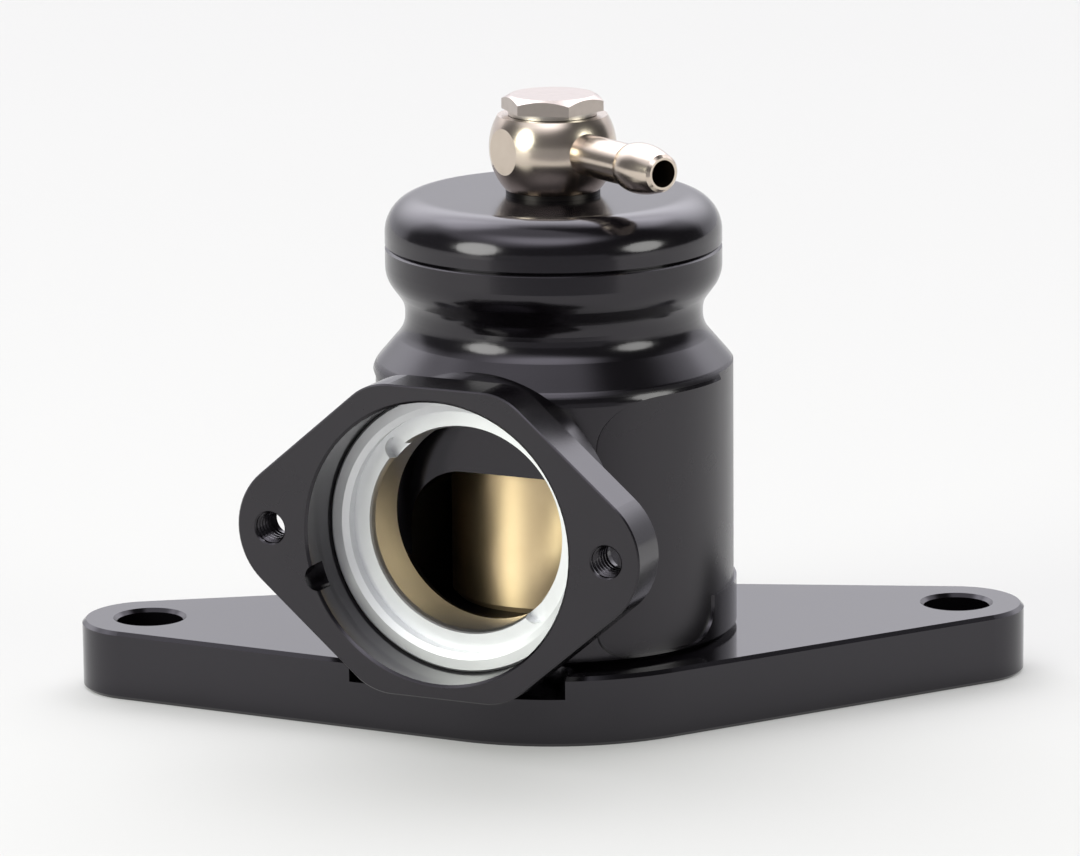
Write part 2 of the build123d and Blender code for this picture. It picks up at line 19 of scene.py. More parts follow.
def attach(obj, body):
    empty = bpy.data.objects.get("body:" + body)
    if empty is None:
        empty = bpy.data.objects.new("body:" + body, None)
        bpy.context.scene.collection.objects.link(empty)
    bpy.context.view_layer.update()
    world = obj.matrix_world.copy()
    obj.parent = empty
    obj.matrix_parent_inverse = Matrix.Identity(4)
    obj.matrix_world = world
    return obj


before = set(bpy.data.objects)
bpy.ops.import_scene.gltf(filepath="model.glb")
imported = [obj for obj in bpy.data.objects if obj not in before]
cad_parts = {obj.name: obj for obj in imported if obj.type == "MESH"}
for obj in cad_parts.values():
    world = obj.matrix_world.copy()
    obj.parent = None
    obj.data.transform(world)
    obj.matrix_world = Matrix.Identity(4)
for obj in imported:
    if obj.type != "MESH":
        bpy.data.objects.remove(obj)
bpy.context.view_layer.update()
print("pieces in the frame:", sorted(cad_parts))

# %% [markdown]
# The camera
#
# A product photograph is taken from far away with a long lens, so that parallel edges stay
# nearly parallel. The place and the angles were found by matching the circles and edges of
# the plate, the cap and the port. A camera could be aimed with a Track To constraint, but a
# matrix made of its right, up and back directions says exactly how it stands.

# %% Place the camera
PHOTO_WIDTH_PX = 1080
SENSOR_WIDTH_MM = 36.0
FOCAL_LENGTH_PX = 6148.07
NEAREST_SEEN = 0.02
FARTHEST_SEEN = 30.0

camera_place = Vector((-0.034487, -0.804292, 0.217471))
azimuth = math.radians(-2.3122)
elevation = math.radians(12.6844)
roll = math.radians(-0.4945)

back = Vector((
    math.sin(azimuth) * math.cos(elevation),
    -math.cos(azimuth) * math.cos(elevation),
    math.sin(elevation),
))
level_right = Vector((math.cos(azimuth), math.sin(azimuth), 0.0))
level_up = back.cross(level_right)
right = math.cos(roll) * level_right + math.sin(roll) * level_up
up = -math.sin(roll) * level_right + math.cos(roll) * level_up

camera_data = bpy.data.cameras.new("product_camera")
camera_data.sensor_fit = "HORIZONTAL"
camera_data.sensor_width = SENSOR_WIDTH_MM
camera_data.lens = FOCAL_LENGTH_PX * SENSOR_WIDTH_MM / PHOTO_WIDTH_PX
camera_data.clip_start = NEAREST_SEEN
camera_data.clip_end = FARTHEST_SEEN
camera = bpy.data.objects.new("product_camera", camera_data)
bpy.context.scene.collection.objects.link(camera)
turned_axes = Matrix((right, up, back)).transposed()
camera.matrix_world = Matrix.Translation(camera_place) @ turned_axes.to_4x4()
bpy.context.scene.camera = camera
print("lens:", round(camera_data.lens, 1), "mm")

# %% [markdown]
# Colours and nodes
#
# Colours are read off a screen as sRGB hex values, but the renderer counts in linear light,
# so one function turns the first into the second. A second small function adds a node, sets
# its options and fills its inputs, either with a value or with the socket that feeds it. That
# keeps each material readable as a short recipe.

# %% Turn a hex colour to linear light
def linear(hex_colour):
    """An sRGB hex colour as linear red, green, blue and full alpha."""
    values = []
    for start in (1, 3, 5):
        share = int(hex_colour[start:start + 2], 16) / 255.0
        if share <= 0.04045:
            values.append(share / 12.92)
        else:
            values.append(((share + 0.055) / 1.055) ** 2.4)
    return (*values, 1.0)


print("mid grey in linear light:", round(linear("#808080")[0], 3))

# %% Add one node
def add_node(tree, kind, inputs=None, **options):
    """Adds a node, sets its options, and fills its inputs with values or sockets."""
    node = tree.nodes.new(kind)
    for name, value in options.items():
        setattr(node, name, value)
    for name, value in (inputs or {}).items():
        if isinstance(value, bpy.types.NodeSocket):
            tree.links.new(value, node.inputs[name])
        else:
            node.inputs[name].default_value = value
    return node


def new_finish(name):
    """An empty material with its output and a Principled shader, ready for a recipe."""
    material = bpy.data.materials.new(name)
    material.use_nodes = True
    tree = material.node_tree
    tree.nodes.clear()
    output = add_node(tree, "ShaderNodeOutputMaterial")
    shader = add_node(tree, "ShaderNodeBsdfPrincipled")
    tree.links.new(shader.outputs["BSDF"], output.inputs["Surface"])
    return material, tree, shader


def per_metre(size_mm):
    """The texture scale that repeats a pattern about once in that many millimetres."""
    return 1000.0 / size_mm


print("a 0.5 mm pattern needs a scale of", per_metre(0.5))

# %% [markdown]
# Marks of the lathe
#
# Most of the metal pieces were turned from bar. A lathe tool leaves fine rings about the axis
# it turned on, and they run round walls and faces alike. A wave texture could draw them, but
# its lines are too even. Noise that is read only by distance from the axis and place along it
# gives rings of uneven depth on every turned surface at once. The real feed is about 0.05 mm,
# which no pixel can show, so the rings are drawn about 0.25 mm wide.

# %% Coordinates that follow a lathe tool
PORT_TURN = math.radians(-27.3)
PORT_DIRECTION = Vector((math.sin(PORT_TURN), -math.cos(PORT_TURN), 0.0))
PORT_ACROSS = Vector((math.cos(PORT_TURN), math.sin(PORT_TURN), 0.0))
PORT_CENTRE = Vector((0.0, 0.0, 0.02845))
VALVE_FOOT = Vector((0.0, 0.0, 0.0))
VALVE_AXIS = Vector((0.0, 0.0, 1.0))
LATHE_RING_MM = 0.25


def lathe_place(tree, point, direction):
    """Two sockets: the distance from a lathe axis, and the place along it, in metres."""
    place = add_node(tree, "ShaderNodeTexCoord").outputs["Object"]
    from_point = add_node(
        tree, "ShaderNodeVectorMath", {0: place, 1: point}, operation="SUBTRACT"
    ).outputs["Vector"]
    along = add_node(
        tree, "ShaderNodeVectorMath", {0: from_point, 1: direction}, operation="DOT_PRODUCT"
    )
    aside = add_node(
        tree, "ShaderNodeVectorMath", {0: from_point, 1: direction}, operation="CROSS_PRODUCT"
    )
    radius = add_node(
        tree, "ShaderNodeVectorMath", {0: aside.outputs["Vector"]}, operation="LENGTH"
    )
    return radius.outputs["Value"], along.outputs["Value"]


def lathe_rings(tree, point, direction):
    """Uneven rings round a lathe axis, as a height from 0 to 1."""
    radius, along = lathe_place(tree, point, direction)
    ring_place = add_node(tree, "ShaderNodeCombineXYZ", {"X": radius, "Y": along})
    rings = add_node(
        tree, "ShaderNodeTexNoise",
        {
            "Vector": ring_place.outputs["Vector"],
            "Scale": per_metre(LATHE_RING_MM),
            "Detail": 2.0,
            "Roughness": 0.6,
        },
        noise_dimensions="2D",
    )
    return rings.outputs["Fac"]


def cut_rings(tree, shader, point, direction, depth):
    """Lathe rings pressed into a shader's normal."""
    rings = lathe_rings(tree, point, direction)
    bump = add_node(
        tree, "ShaderNodeBump", {"Height": rings, "Strength": 1.0, "Distance": depth}
    )
    tree.links.new(bump.outputs["Normal"], shader.inputs["Normal"])


print("rings drawn every", LATHE_RING_MM, "mm")

# %% [markdown]
# Grain without a direction
#
# An etch, a tumbling drum or a mould leaves a grain that looks the same on every side. Real
# etched grain is a few hundredths of a millimetre wide, which is too fine for a pixel, so it
# is drawn 0.3 to 0.8 mm wide and very shallow. It softens the edge of a mirrored light in the
# same way.

# %% Press grain into a surface
def fine_grain(tree, size_mm):
    """The even grain that an etch or a tumbling drum leaves, as a height from 0 to 1."""
    place = add_node(tree, "ShaderNodeTexCoord").outputs["Object"]
    grain = add_node(
        tree, "ShaderNodeTexNoise",
        {"Vector": place, "Scale": per_metre(size_mm), "Detail": 3.0, "Roughness": 0.7},
    )
    return grain.outputs["Fac"]


def press_grain(tree, shader, size_mm, strength, depth):
    """Fine grain pressed into a shader's normal. Returns the grain's height."""
    grain = fine_grain(tree, size_mm)
    bump = add_node(
        tree, "ShaderNodeBump", {"Height": grain, "Strength": strength, "Distance": depth}
    )
    tree.links.new(bump.outputs["Normal"], shader.inputs["Normal"])
    return grain


print("recipes for a surface: cut_rings and press_grain")

# %% [markdown]
# Black anodised aluminium
#
# Anodising grows a thin layer of clear, hard oxide and fills it with dye. To the eye that is
# not a metal any more: the dark dye swallows what enters, and the smooth oxide mirrors the
# room a little from the front and a lot along the edge of sight. A Principled shader with no
# metallic, an IOR near 1.6 and a nearly black base does just that. The dye of such parts
# leans to purple, which shows in the mirrored light, so the specular tint is a pale violet.

# %% Dye in the oxide
ANODISED_IOR = 1.6
DYE_DARK = "#060506"
DYE_LIGHT = "#0C0A0D"
DYE_PATCH_MM = 9.0


def dyed_oxide(tree, shader):
    """Nearly black dye, with a faint drift in its depth. Returns the drift from 0 to 1."""
    place = add_node(tree, "ShaderNodeTexCoord").outputs["Object"]
    drift = add_node(
        tree, "ShaderNodeTexNoise",
        {"Vector": place, "Scale": per_metre(DYE_PATCH_MM), "Detail": 3.0, "Roughness": 0.55},
    ).outputs["Fac"]
    # In the mix node, input 0 is the factor, 6 and 7 are its colours, and output 2 their mix.
    dye = add_node(
        tree, "ShaderNodeMix",
        {0: drift, 6: linear(DYE_DARK), 7: linear(DYE_LIGHT)}, data_type="RGBA",
    )
    tree.links.new(dye.outputs[2], shader.inputs["Base Color"])
    return drift


print("oxide IOR:", ANODISED_IOR)

# %% [markdown]
# The housing has three surfaces
#
# The body was turned and stays glossy. The panel that is cut a little way into its front was
# milled and is duller, and so is the face of the flange. They are one piece of metal, so
# they share one material: places are told apart by where they lie. The panel is the only wall
# that lies 23.95 mm from the valve axis, and the flange face is the only surface 37 mm along
# the port. Both tests use object coordinates, which stay with the part in every pose.

# %% Tell the milled places from the turned ones
PANEL_RADIUS = 0.02395
PANEL_RADIUS_SPREAD = 0.00017
PANEL_FOOT = 0.0104
FLANGE_FACE_FROM = 0.0369

anodised_housing, tree, shader = new_finish("anodised_aluminium_black_turned_and_milled")
dye_drift = dyed_oxide(tree, shader)
shader.inputs["Metallic"].default_value = 0.0
shader.inputs["IOR"].default_value = ANODISED_IOR
shader.inputs["Specular Tint"].default_value = linear("#EEE9F2")

valve_radius, valve_height = lathe_place(tree, VALVE_FOOT, VALVE_AXIS)
_, port_along = lathe_place(tree, PORT_CENTRE, PORT_DIRECTION)
on_panel_wall = add_node(
    tree, "ShaderNodeMath",
    {0: valve_radius, 1: PANEL_RADIUS, 2: PANEL_RADIUS_SPREAD}, operation="COMPARE",
).outputs["Value"]
above_foot = add_node(
    tree, "ShaderNodeMath", {0: valve_height, 1: PANEL_FOOT}, operation="GREATER_THAN"
).outputs["Value"]
on_panel = add_node(
    tree, "ShaderNodeMath", {0: on_panel_wall, 1: above_foot}, operation="MULTIPLY"
).outputs["Value"]
on_face = add_node(
    tree, "ShaderNodeMath", {0: port_along, 1: FLANGE_FACE_FROM}, operation="GREATER_THAN"
).outputs["Value"]
milled = add_node(
    tree, "ShaderNodeMath", {0: on_panel, 1: on_face}, operation="MAXIMUM"
).outputs["Value"]
print("milled panel:", PANEL_RADIUS * 1000.0, "mm from the valve axis")

# %% [markdown]
# Gloss and marks of the housing
#
# Turned metal is glossier than milled metal, and the drift of the dye makes both a little
# uneven. Two bumps follow each other: first the rings of the lathe, then the grain of the
# etch, which is plain on the milled places and faint on the turned ones.

# %% Gloss and marks of the housing
TURNED_GLOSS = 0.145
MILLED_GLOSS = 0.25
GLOSS_SPREAD = 0.06
RING_DEPTH = 0.0000007
GRIT_MM = 0.35
GRIT_DEPTH = 0.0000016
GRIT_ON_TURNED = 0.2
GRIT_ON_MILLED = 1.0

gloss = add_node(
    tree, "ShaderNodeMath",
    {0: milled, 1: MILLED_GLOSS - TURNED_GLOSS, 2: TURNED_GLOSS}, operation="MULTIPLY_ADD",
)
uneven_gloss = add_node(
    tree, "ShaderNodeMath",
    {0: dye_drift, 1: GLOSS_SPREAD, 2: gloss.outputs["Value"]}, operation="MULTIPLY_ADD",
)
tree.links.new(uneven_gloss.outputs["Value"], shader.inputs["Roughness"])

rings = lathe_rings(tree, VALVE_FOOT, VALVE_AXIS)
grit = fine_grain(tree, GRIT_MM)
turned_bump = add_node(
    tree, "ShaderNodeBump", {"Height": rings, "Strength": 1.0, "Distance": RING_DEPTH}
)
grit_strength = add_node(
    tree, "ShaderNodeMath",
    {0: milled, 1: GRIT_ON_MILLED - GRIT_ON_TURNED, 2: GRIT_ON_TURNED}, operation="MULTIPLY_ADD",
)
milled_bump = add_node(
    tree, "ShaderNodeBump",
    {
        "Height": grit,
        "Strength": grit_strength.outputs["Value"],
        "Distance": GRIT_DEPTH,
        "Normal": turned_bump.outputs["Normal"],
    },
)
tree.links.new(milled_bump.outputs["Normal"], shader.inputs["Normal"])
print("housing:", len(tree.nodes), "nodes")

# %% [markdown]
# The cap and the plate
#
# The cap is turned all over, so it takes the rings and the higher gloss. The plate is milled
# from flat stock with a fine finishing cut. Both could share the housing's recipe, but each
# has a single surface, so their recipes stay short and each gets a gloss of its own.

# %% Anodised cap and plate materials
CAP_GLOSS = 0.12
PLATE_GLOSS = 0.08


def anodised(name, roughness, tint):
    """Black anodised aluminium with one even gloss. Returns the material, tree and shader."""
    material, tree, shader = new_finish(name)
    drift = dyed_oxide(tree, shader)
    shader.inputs["Metallic"].default_value = 0.0
    shader.inputs["IOR"].default_value = ANODISED_IOR
    shader.inputs["Specular Tint"].default_value = linear(tint)
    uneven = add_node(
        tree, "ShaderNodeMath",
        {0: drift, 1: GLOSS_SPREAD, 2: roughness}, operation="MULTIPLY_ADD",
    )
    tree.links.new(uneven.outputs["Value"], shader.inputs["Roughness"])
    return material, tree, shader


anodised_cap, tree, shader = anodised("anodised_aluminium_black_turned", CAP_GLOSS, "#F6F1FA")
cut_rings(tree, shader, VALVE_FOOT, VALVE_AXIS, RING_DEPTH)

anodised_plate, tree, shader = anodised("anodised_aluminium_black_milled", PLATE_GLOSS, "#F6F2FC")
press_grain(tree, shader, GRIT_MM, strength=0.5, depth=GRIT_DEPTH)
print("cap and plate roughness:", CAP_GLOSS, PLATE_GLOSS)

# %% [markdown]
# Bare metals
#
# The ring in the port is turned aluminium without dye, the piston is finely turned brass, and
# the hose union is brass under nickel. A metal has no see-through layer: it is metallic 1, its
# colour tints the mirrored room, and its IOR stays at the default. What tells them apart is
# the tint and how sharp the mirror is. Turned aluminium is soft and white, nickel is warmer
# and sharper, and the grooves round the brass draw a mirrored light out into a tall streak.

# %% A recipe for bare metals
def bare_metal(name, hex_light, hex_dark, patch_mm, roughness, roughness_spread):
    """A metal whose tint and gloss drift a little over patches of a given size."""
    material, tree, shader = new_finish(name)
    place = add_node(tree, "ShaderNodeTexCoord").outputs["Object"]
    drift = add_node(
        tree, "ShaderNodeTexNoise",
        {"Vector": place, "Scale": per_metre(patch_mm), "Detail": 3.0, "Roughness": 0.6},
    ).outputs["Fac"]
    tint = add_node(
        tree, "ShaderNodeMix",
        {0: drift, 6: linear(hex_light), 7: linear(hex_dark)}, data_type="RGBA",
    )
    tree.links.new(tint.outputs[2], shader.inputs["Base Color"])
    shader.inputs["Metallic"].default_value = 1.0
    smoothest = roughness - roughness_spread / 2
    uneven = add_node(
        tree, "ShaderNodeMath",
        {0: drift, 1: roughness_spread, 2: smoothest}, operation="MULTIPLY_ADD",
    )
    tree.links.new(uneven.outputs["Value"], shader.inputs["Roughness"])
    return material, tree, shader


print("a bare metal takes two tints, a patch size and a roughness")

# %% [markdown]
# The bright ring
#
# The ring's face shows the marks of a coarser cut, so it is nearly as dull as frosted metal and
# looks white from every side. Its bore was reamed smooth and mirrors the brass behind it.

# %% Turned aluminium
RING_BORE_TO = 0.0138
REAMED_SMOOTHER = 0.2

turned_aluminium, tree, shader = bare_metal(
    "bare_aluminium_turned", "#F2F3F4", "#E8E9EA",
    patch_mm=5.0, roughness=0.55, roughness_spread=0.08,
)
cut_rings(tree, shader, PORT_CENTRE, PORT_DIRECTION, depth=0.000002)
ring_radius, _ = lathe_place(tree, PORT_CENTRE, PORT_DIRECTION)
in_bore = add_node(
    tree, "ShaderNodeMath", {0: ring_radius, 1: RING_BORE_TO}, operation="LESS_THAN"
).outputs["Value"]
face_roughness = shader.inputs["Roughness"].links[0].from_socket
smoothed = add_node(
    tree, "ShaderNodeMath",
    {0: in_bore, 1: -REAMED_SMOOTHER, 2: face_roughness}, operation="MULTIPLY_ADD",
)
tree.links.new(smoothed.outputs["Value"], shader.inputs["Roughness"])
print("ring bore:", RING_BORE_TO * 1000.0, "mm and less from the port's axis")

# %% [markdown]
# Brass and nickel
#
# Brass is warm yellow. A radial tangent with a high anisotropic value stands for the grooves
# round the piston, which spread a mirrored light up and down, not sideways. Nickel is a shade
# warmer than steel. The fitting was turned and shines, and the bolt was tumbled and is duller.

# %% Turned brass and nickel plate
turned_brass, tree, shader = bare_metal(
    "brass_turned", "#F4DCB2", "#EACFA3",
    patch_mm=6.0, roughness=0.48, roughness_spread=0.06,
)
groove_direction = add_node(tree, "ShaderNodeTangent", direction_type="RADIAL", axis="Z")
tree.links.new(groove_direction.outputs["Tangent"], shader.inputs["Tangent"])
shader.inputs["Anisotropic"].default_value = 0.7
shader.inputs["Anisotropic Rotation"].default_value = 0.25
cut_rings(tree, shader, VALVE_FOOT, VALVE_AXIS, depth=0.0000008)

nickel_plate, tree, shader = bare_metal(
    "nickel_plated_brass_turned", "#D6C9BB", "#C5B8AA",
    patch_mm=3.0, roughness=0.21, roughness_spread=0.07,
)
cut_rings(tree, shader, VALVE_FOOT, VALVE_AXIS, depth=0.000001)

nickel_bolt, tree, shader = bare_metal(
    "nickel_plated_brass_tumbled", "#BEB4AD", "#AFA59E",
    patch_mm=1.4, roughness=0.3, roughness_spread=0.1,
)
press_grain(tree, shader, size_mm=0.6, strength=0.6, depth=0.000003)
print("made:", [finish.name for finish in (turned_brass, nickel_plate, nickel_bolt)])

# %% [markdown]
# Washers, wire and screws
#
# The small pieces are common metals. Annealed aluminium washers are soft and grey, the lower
# one nearly black. Drawn spring wire is dark and smooth, and zinc plate is bluish and dull.

# %% Small metal pieces
soft_washer, tree, shader = bare_metal(
    "aluminium_washer_annealed", "#C6C0B9", "#B2ABA4",
    patch_mm=2.0, roughness=0.34, roughness_spread=0.12,
)
cut_rings(tree, shader, VALVE_FOOT, VALVE_AXIS, depth=0.000001)

# The lower washer is given a nearly black colour.
nearly_black_washer, tree, shader = bare_metal(
    "aluminium_washer_nearly_black", "#3A3736", "#2A2828",
    patch_mm=1.2, roughness=0.34, roughness_spread=0.12,
)
cut_rings(tree, shader, VALVE_FOOT, VALVE_AXIS, depth=0.000002)

drawn_wire, tree, shader = bare_metal(
    "spring_steel_drawn", "#B4B5B8", "#8E8F93",
    patch_mm=1.5, roughness=0.36, roughness_spread=0.14,
)
press_grain(tree, shader, size_mm=0.3, strength=0.5, depth=0.000004)

zinc_screw, tree, shader = bare_metal(
    "steel_zinc_plated", "#C3C7CE", "#A5A9B2",
    patch_mm=1.6, roughness=0.34, roughness_spread=0.14,
)
press_grain(tree, shader, size_mm=0.4, strength=0.6, depth=0.000005)
print("made:", [finish.name for finish in (soft_washer, nearly_black_washer, drawn_wire, zinc_screw)])

# %% [markdown]
# Rubber and plastic
#
# The sealing rings are moulded nitrile rubber, black with a dull sheen, and the piston's
# guide band is skived PTFE, white, waxy and soft looking. Both sit deep in the valve, but
# they show when the piston lifts or the valve is seen from below. Neither is a metal, so
# each has an IOR of its own, and its grain moves both its colour and its gloss a little.

# %% Nitrile rubber and PTFE
RUBBER_IOR = 1.52
PTFE_IOR = 1.38
SOFT_GLOSS = 0.42
RUBBER_GLOSS_SPREAD = 0.2
PTFE_GLOSS_SPREAD = 0.1

nitrile_rubber, tree, shader = new_finish("nitrile_rubber_moulded")
shader.inputs["IOR"].default_value = RUBBER_IOR
bloom = press_grain(tree, shader, size_mm=0.8, strength=0.5, depth=0.00001)
shade = add_node(
    tree, "ShaderNodeMix",
    {0: bloom, 6: linear("#0E0E0E"), 7: linear("#1C1B1B")}, data_type="RGBA",
)
tree.links.new(shade.outputs[2], shader.inputs["Base Color"])
dull = add_node(
    tree, "ShaderNodeMath",
    {0: bloom, 1: RUBBER_GLOSS_SPREAD, 2: SOFT_GLOSS}, operation="MULTIPLY_ADD",
)
tree.links.new(dull.outputs["Value"], shader.inputs["Roughness"])

guide_ptfe, tree, shader = new_finish("ptfe_skived")
shader.inputs["IOR"].default_value = PTFE_IOR
skive = lathe_rings(tree, VALVE_FOOT, VALVE_AXIS)
shade = add_node(
    tree, "ShaderNodeMix",
    {0: skive, 6: linear("#E9E7DF"), 7: linear("#D8D5CA")}, data_type="RGBA",
)
tree.links.new(shade.outputs[2], shader.inputs["Base Color"])
dull = add_node(
    tree, "ShaderNodeMath",
    {0: skive, 1: PTFE_GLOSS_SPREAD, 2: SOFT_GLOSS}, operation="MULTIPLY_ADD",
)
tree.links.new(dull.outputs["Value"], shader.inputs["Roughness"])
print("made:", nitrile_rubber.name, "and", guide_ptfe.name)

# %% [markdown]
# Dress the pieces
#
# Each CAD piece keeps its shape and gets its finish in its material slots. The meshes come
# with smooth normals where the surface is round, so nothing has to be shaded again. The
# pieces that the list leaves out are all sealing rings, and they are made of rubber.

# %% Give every piece its finish
FINISH_OF = {
    "base_plate": anodised_plate,
    "valve_body": anodised_housing,
    "top_cap": anodised_cap,
    "port_ring": turned_aluminium,
    "piston": turned_brass,
    "banjo_fitting": nickel_plate,
    "banjo_bolt": nickel_bolt,
    "banjo_washer_upper": soft_washer,
    "banjo_washer_lower": nearly_black_washer,
    "piston_spring": drawn_wire,
    "body_screws": zinc_screw,
    "piston_guide_ring": guide_ptfe,
}
for name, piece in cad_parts.items():
    finish = FINISH_OF.get(name, nitrile_rubber)
    if not piece.data.materials:
        piece.data.materials.append(finish)
    for slot in piece.material_slots:
        slot.material = finish
    print(name, "is", finish.name)

# %% [markdown]
# Threads in the flange
#
# The two flange holes are tapped M5, and their fine thread can be seen in the photograph's
# light. The CAD keeps them as plain drilled holes. A screw modifier or a bump could draw the
# thread, but a helix swept in mesh code gives real ridges that catch the light and shadow
# each other. The ridges stand 0.2 mm inside the drilled wall and start under the face.

# %% Sweep one thread ridge
TAP_PITCH = 0.0008
HOLE_RADIUS = 0.0021
CREST_RADIUS = 0.00189
THREAD_LENGTH = 0.0058
ROOT_RADIUS = HOLE_RADIUS + 0.00012
ROOT_HALF_WIDTH = 0.42 * TAP_PITCH
CREST_HALF_WIDTH = 0.08 * TAP_PITCH
STEPS_PER_TURN = 40
RUN_OUT_STEPS = STEPS_PER_TURN / 3.0


def thread_ridge(name, mouth, direction, side):
    """A helical ridge that runs back from the mouth of a hole, as one closed mesh."""
    level = direction.cross(side)
    turns = (THREAD_LENGTH - TAP_PITCH) / TAP_PITCH
    steps = int(turns * STEPS_PER_TURN)
    # The section is a triangle with a flat crest, its root sunk into the wall.
    section = [
        (ROOT_RADIUS, -ROOT_HALF_WIDTH),
        (CREST_RADIUS, -CREST_HALF_WIDTH),
        (CREST_RADIUS, CREST_HALF_WIDTH),
        (ROOT_RADIUS, ROOT_HALF_WIDTH),
    ]
    mesh = bmesh.new()
    loops = []
    for step in range(steps + 1):
        angle = 2.0 * math.pi * step / STEPS_PER_TURN
        depth = 0.5 * TAP_PITCH + TAP_PITCH * step / STEPS_PER_TURN
        outward = math.cos(angle) * side + math.sin(angle) * level
        # Both ends run out into the wall over a third of a turn.
        height = min(1.0, min(step, steps - step) / RUN_OUT_STEPS)
        loop = []
        for radius, shift in section:
            faded = ROOT_RADIUS + (radius - ROOT_RADIUS) * height
            loop.append(mesh.verts.new(mouth - direction * (depth + shift) + outward * faded))
        loops.append(loop)
    for first, second in zip(loops, loops[1:]):
        for corner in range(len(section)):
            following = (corner + 1) % len(section)
            mesh.faces.new((first[corner], first[following], second[following], second[corner]))
    mesh.faces.new(reversed(loops[0]))
    mesh.faces.new(loops[-1])
    bmesh.ops.recalc_face_normals(mesh, faces=mesh.faces)
    data = bpy.data.meshes.new(name)
    mesh.to_mesh(data)
    mesh.free()
    piece = bpy.data.objects.new(name, data)
    bpy.context.scene.collection.objects.link(piece)
    return piece


print("thread pitch:", TAP_PITCH * 1000.0, "mm")

# %% Thread the two flange holes
SCREW_SPAN = 0.0482
FLANGE_FACE = 0.037

for name, sign in (("flange_thread_left", -1.0), ("flange_thread_right", 1.0)):
    across = PORT_ACROSS * (sign * SCREW_SPAN / 2.0)
    hole_mouth = PORT_CENTRE + PORT_DIRECTION * FLANGE_FACE + across
    thread = thread_ridge(name, hole_mouth, PORT_DIRECTION, PORT_ACROSS)
    thread.data.materials.append(anodised_housing)
    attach(thread, "housing")
    print(name, len(thread.data.polygons), "faces")

# %% [markdown]
# The table
#
# The valve stands on a plain white table of painted board, whose matt paint scatters light
# and mirrors nothing. The valve's upright black sides mirror the table beside it, so the
# table's light is what makes them grey and not black. Most of that light comes down from the
# room. The table also glows a little, as a light table does, which keeps it white close to
# the valve, where the valve's own shadow falls.

# %% White table
TABLE_RADIUS = 6.0
TABLE_RIM_POINTS = 96
TABLE_GLOW = 0.25
PAINT_PATCH_MM = 400.0

matt_table, tree, shader = new_finish("painted_board_matt_white")
place = add_node(tree, "ShaderNodeTexCoord").outputs["Object"]
paint = add_node(
    tree, "ShaderNodeTexNoise",
    {"Vector": place, "Scale": per_metre(PAINT_PATCH_MM), "Detail": 2.0},
)
shade = add_node(
    tree, "ShaderNodeMix",
    {0: paint.outputs["Fac"], 6: linear("#B0B0AC"), 7: linear("#ACACA8")}, data_type="RGBA",
)
tree.links.new(shade.outputs[2], shader.inputs["Base Color"])
shader.inputs["Roughness"].default_value = 0.9
shader.inputs["Specular IOR Level"].default_value = 0.2
shader.inputs["Emission Color"].default_value = linear("#FFFFFF")
shader.inputs["Emission Strength"].default_value = TABLE_GLOW

mesh = bmesh.new()
bmesh.ops.create_circle(mesh, cap_ends=True, radius=TABLE_RADIUS, segments=TABLE_RIM_POINTS)
table_data = bpy.data.meshes.new("studio_table")
mesh.to_mesh(table_data)
mesh.free()
table = bpy.data.objects.new("studio_table", table_data)
bpy.context.scene.collection.objects.link(table)
table.data.materials.append(matt_table)
print("table radius:", TABLE_RADIUS, "m")

# %% [markdown]
# A room that is read off the cap
#
# A black, glossy object shows its room and little else. The rounded rim of the cap mirrors
# nearly the whole of it, so the rim in the photograph tells where the light stood. A bright
# wall and a brighter slope above it stand behind the valve, a soft ceiling hangs over its
# front, and the space round the camera and at both sides is dark. An image of a room would
# be a file, so the room is drawn here: each light is a soft-edged patch, placed by its
# azimuth from the front and its height above the table, both in degrees.

# %% Two ways to read a direction, in degrees
room = bpy.data.worlds.new("studio_room")
room.use_nodes = True
bpy.context.scene.world = room
tree = room.node_tree
tree.nodes.clear()
outlook = add_node(tree, "ShaderNodeTexCoord").outputs["Generated"]
sides = add_node(tree, "ShaderNodeSeparateXYZ", {"Vector": outlook})
forwards = add_node(
    tree, "ShaderNodeMath", {0: sides.outputs["Y"], 1: -1.0}, operation="MULTIPLY"
).outputs["Value"]
turned = add_node(
    tree, "ShaderNodeMath", {0: sides.outputs["X"], 1: forwards}, operation="ARCTAN2"
).outputs["Value"]
raised = add_node(
    tree, "ShaderNodeMath", {0: sides.outputs["Z"]}, operation="ARCSINE"
).outputs["Value"]
from_front = add_node(tree, "ShaderNodeMath", {0: turned}, operation="DEGREES").outputs["Value"]
above = add_node(tree, "ShaderNodeMath", {0: raised}, operation="DEGREES").outputs["Value"]
either_side = add_node(
    tree, "ShaderNodeMath", {0: from_front}, operation="ABSOLUTE"
).outputs["Value"]
whole_room = add_node(
    tree, "ShaderNodeCombineXYZ", {"X": from_front, "Y": above}
).outputs["Vector"]
mirrored_room = add_node(
    tree, "ShaderNodeCombineXYZ", {"X": either_side, "Y": above}
).outputs["Vector"]
print("azimuth 0 is the front, 180 the back, and height 90 is overhead")

# %% [markdown]
# The patches
#
# A patch is an oval in those degrees. Its middle shines evenly, and its edge fades over a
# share of its size, which is the softness. Each patch adds to the light below it. The first
# three lie at both sides alike, and the others lie mostly left of the camera.

